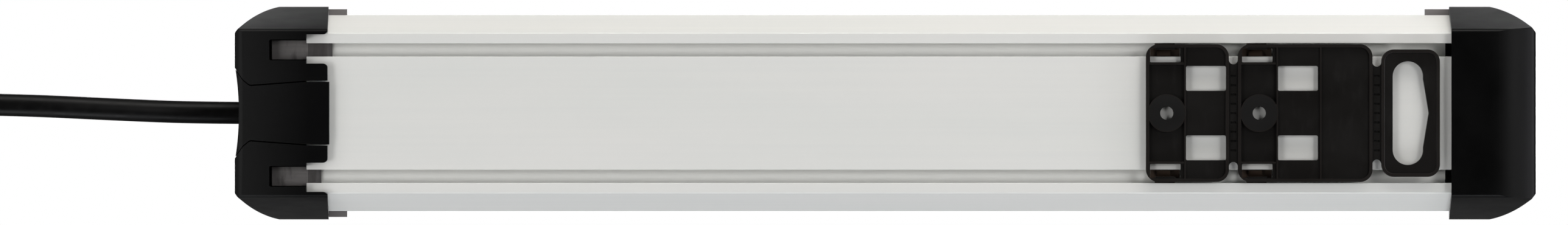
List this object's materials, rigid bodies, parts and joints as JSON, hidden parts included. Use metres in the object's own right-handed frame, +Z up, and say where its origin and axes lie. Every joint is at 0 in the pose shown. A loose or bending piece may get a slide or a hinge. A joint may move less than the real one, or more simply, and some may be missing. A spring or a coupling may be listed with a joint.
{
  "type": "power strip",
  "caption": "Aluminium desk power strip with earthed sockets, rocker switch, T-grooved back and clip-on wall brackets.",
  "frame": {"origin": "centre of the strip's footprint, on the surface it stands on, without the cord", "axes": "+X along the strip away from the cord, +Z up, the way the sockets face"},
  "size_m": [0.6257, 0.1146, 0.0482],
  "materials": {
    "anodised_aluminium": "fine satin anodised extrusion",
    "cap_plastic": "fine spark-eroded black",
    "cover_plastic": "fine spark-eroded black",
    "key_plastic": "dark grey, drawn",
    "bracket_plastic": "smooth satin black",
    "socket_plastic": "fine matt anthracite",
    "carrier_plastic": "natural light grey",
    "shutter_plastic": "light grey",
    "contact_brass": "stamped strip",
    "earth_steel": "nickel-plated strip",
    "screw_steel": "zinc plated",
    "switch_plastic": "black",
    "rocker_plastic": "translucent red",
    "live_insulation": "brown",
    "neutral_insulation": "blue",
    "earth_insulation": "green and yellow",
    "cord_sheath": "satin black sheath",
    "plug_rubber": "satin black moulding",
    "tie_fabric": "woven hook-and-loop strap",
    "pin_nickel": "nickel plated"
  },
  "bodies": {
    "housing": {"housing_profile": "anodised_aluminium", "plain_end_cap": "cap_plastic", "plain_end_cap_screws": "screw_steel", "cable_end_cap": "cap_plastic", "cable_end_cap_screws": "screw_steel", "cable_cover": "cover_plastic", "cord_clamp_bar": "carrier_plastic", "cord_clamp_screws": "screw_steel", "groove_key_long": "key_plastic", "groove_key_short": "key_plastic", "socket_cover": "socket_plastic", "contact_carrier": "carrier_plastic", "live_rail": "contact_brass", "neutral_rail": "contact_brass", "earth_rail": "earth_steel", "switch_case": "switch_plastic", "switch_terminals": "contact_brass", "switch_bridges": "contact_brass", "spade_connectors": "contact_brass", "earth_ring_terminal": "earth_steel", "earth_bond_screw": "screw_steel", "live_feed_wire": "live_insulation", "neutral_feed_wire": "neutral_insulation", "live_link_wire": "live_insulation", "neutral_link_wire": "neutral_insulation", "earth_feed_wire": "earth_insulation", "earth_link_wire": "earth_insulation", "mains_cord_lead": "cord_sheath", "mains_cord_tail": "cord_sheath", "mains_cord_coil": "cord_sheath", "cord_tie": "tie_fabric", "plug_strain_relief": "plug_rubber", "plug_body": "plug_rubber", "plug_pins": "pin_nickel", "plug_earth_clips": "earth_steel"},
    "bracket_set": {"wall_bracket_short": "bracket_plastic", "wall_bracket_long": "bracket_plastic", "break_off_webs": "bracket_plastic", "hang_tag": "bracket_plastic"},
    "switch_rocker": {"rocker": "rocker_plastic"},
    "shutter_1": {"pin_shutter_1": "shutter_plastic"},
    "shutter_2": {"pin_shutter_2": "shutter_plastic"},
    "shutter_3": {"pin_shutter_3": "shutter_plastic"},
    "shutter_4": {"pin_shutter_4": "shutter_plastic"},
    "shutter_5": {"pin_shutter_5": "shutter_plastic"},
    "shutter_6": {"pin_shutter_6": "shutter_plastic"}
  },
  "joints": [
    {"name": "bracket_slide", "type": "slide", "parent": "housing", "child": "bracket_set", "axis": [1, 0, 0], "range_m": [-0.262, 0.0033]},
    {"name": "rocker_hinge", "type": "hinge", "parent": "housing", "child": "switch_rocker", "pos_m": [-0.14, 0, 0.0415], "axis": [1, 0, 0], "range_deg": [-20, 0]},
    {"name": "shutter_hinge_1", "type": "hinge", "parent": "housing", "child": "shutter_1", "pos_m": [-0.084, 0, 0.0225], "axis": [0, 0, 1], "range_deg": [0, 38], "stiffness_Nm_per_rad": 0.003, "springref_deg": -17.19},
    {"name": "shutter_hinge_2", "type": "hinge", "parent": "housing", "child": "shutter_2", "pos_m": [-0.037, 0, 0.0225], "axis": [0, 0, 1], "range_deg": [0, 38], "stiffness_Nm_per_rad": 0.003, "springref_deg": -17.19},
    {"name": "shutter_hinge_3", "type": "hinge", "parent": "housing", "child": "shutter_3", "pos_m": [0.01, 0, 0.0225], "axis": [0, 0, 1], "range_deg": [0, 38], "stiffness_Nm_per_rad": 0.003, "springref_deg": -17.19},
    {"name": "shutter_hinge_4", "type": "hinge", "parent": "housing", "child": "shutter_4", "pos_m": [0.057, 0, 0.0225], "axis": [0, 0, 1], "range_deg": [0, 38], "stiffness_Nm_per_rad": 0.003, "springref_deg": -17.19},
    {"name": "shutter_hinge_5", "type": "hinge", "parent": "housing", "child": "shutter_5", "pos_m": [0.104, 0, 0.0225], "axis": [0, 0, 1], "range_deg": [0, 38], "stiffness_Nm_per_rad": 0.003, "springref_deg": -17.19},
    {"name": "shutter_hinge_6", "type": "hinge", "parent": "housing", "child": "shutter_6", "pos_m": [0.151, 0, 0.0225], "axis": [0, 0, 1], "range_deg": [0, 38], "stiffness_Nm_per_rad": 0.003, "springref_deg": -17.19}
  ]
}
